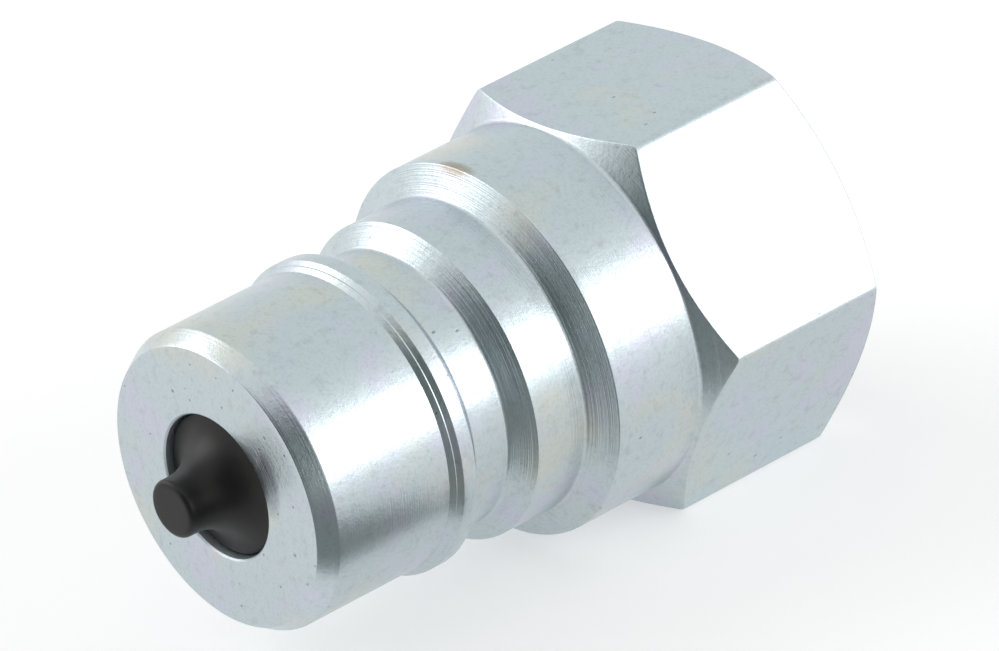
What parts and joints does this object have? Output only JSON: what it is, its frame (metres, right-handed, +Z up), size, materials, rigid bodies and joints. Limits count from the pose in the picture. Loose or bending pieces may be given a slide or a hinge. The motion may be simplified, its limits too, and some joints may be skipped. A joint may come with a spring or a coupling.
{
  "type": "liquid cooling quick coupling, male half with port thread",
  "caption": "Male half of a poppet-valve quick coupling: stepped steel nose, locking groove, hexagon and internal pipe-thread port.",
  "frame": {"origin": "centre of the nose's front face, on the coupling axis", "axes": "+X along the coupling axis, from the nose towards the port; +Z up, square to the hexagon flat that faces up; the part lies on the opposite flat"},
  "size_m": [0.0404, 0.0252, 0.022],
  "materials": {
    "zinc_steel": "turned and zinc plated, clear passivated",
    "poppet_black": "satin black",
    "seal_rubber": "matte black rubber",
    "spring_steel": "drawn stainless wire",
    "guide_brass": "turned brass"
  },
  "bodies": {
    "housing": {"body": "zinc_steel", "valve_guide": "guide_brass", "snap_ring": "spring_steel", "valve_spring": "spring_steel"},
    "valve": {"poppet": "poppet_black", "poppet_seal": "seal_rubber"}
  },
  "joints": [
    {"name": "poppet_slide", "type": "slide", "parent": "housing", "child": "valve", "axis": [1, 0, 0], "range_m": [0, 0.0036], "stiffness_N_per_m": 2500, "springref_m": -0.004, "deforming": ["valve_spring"]}
  ]
}
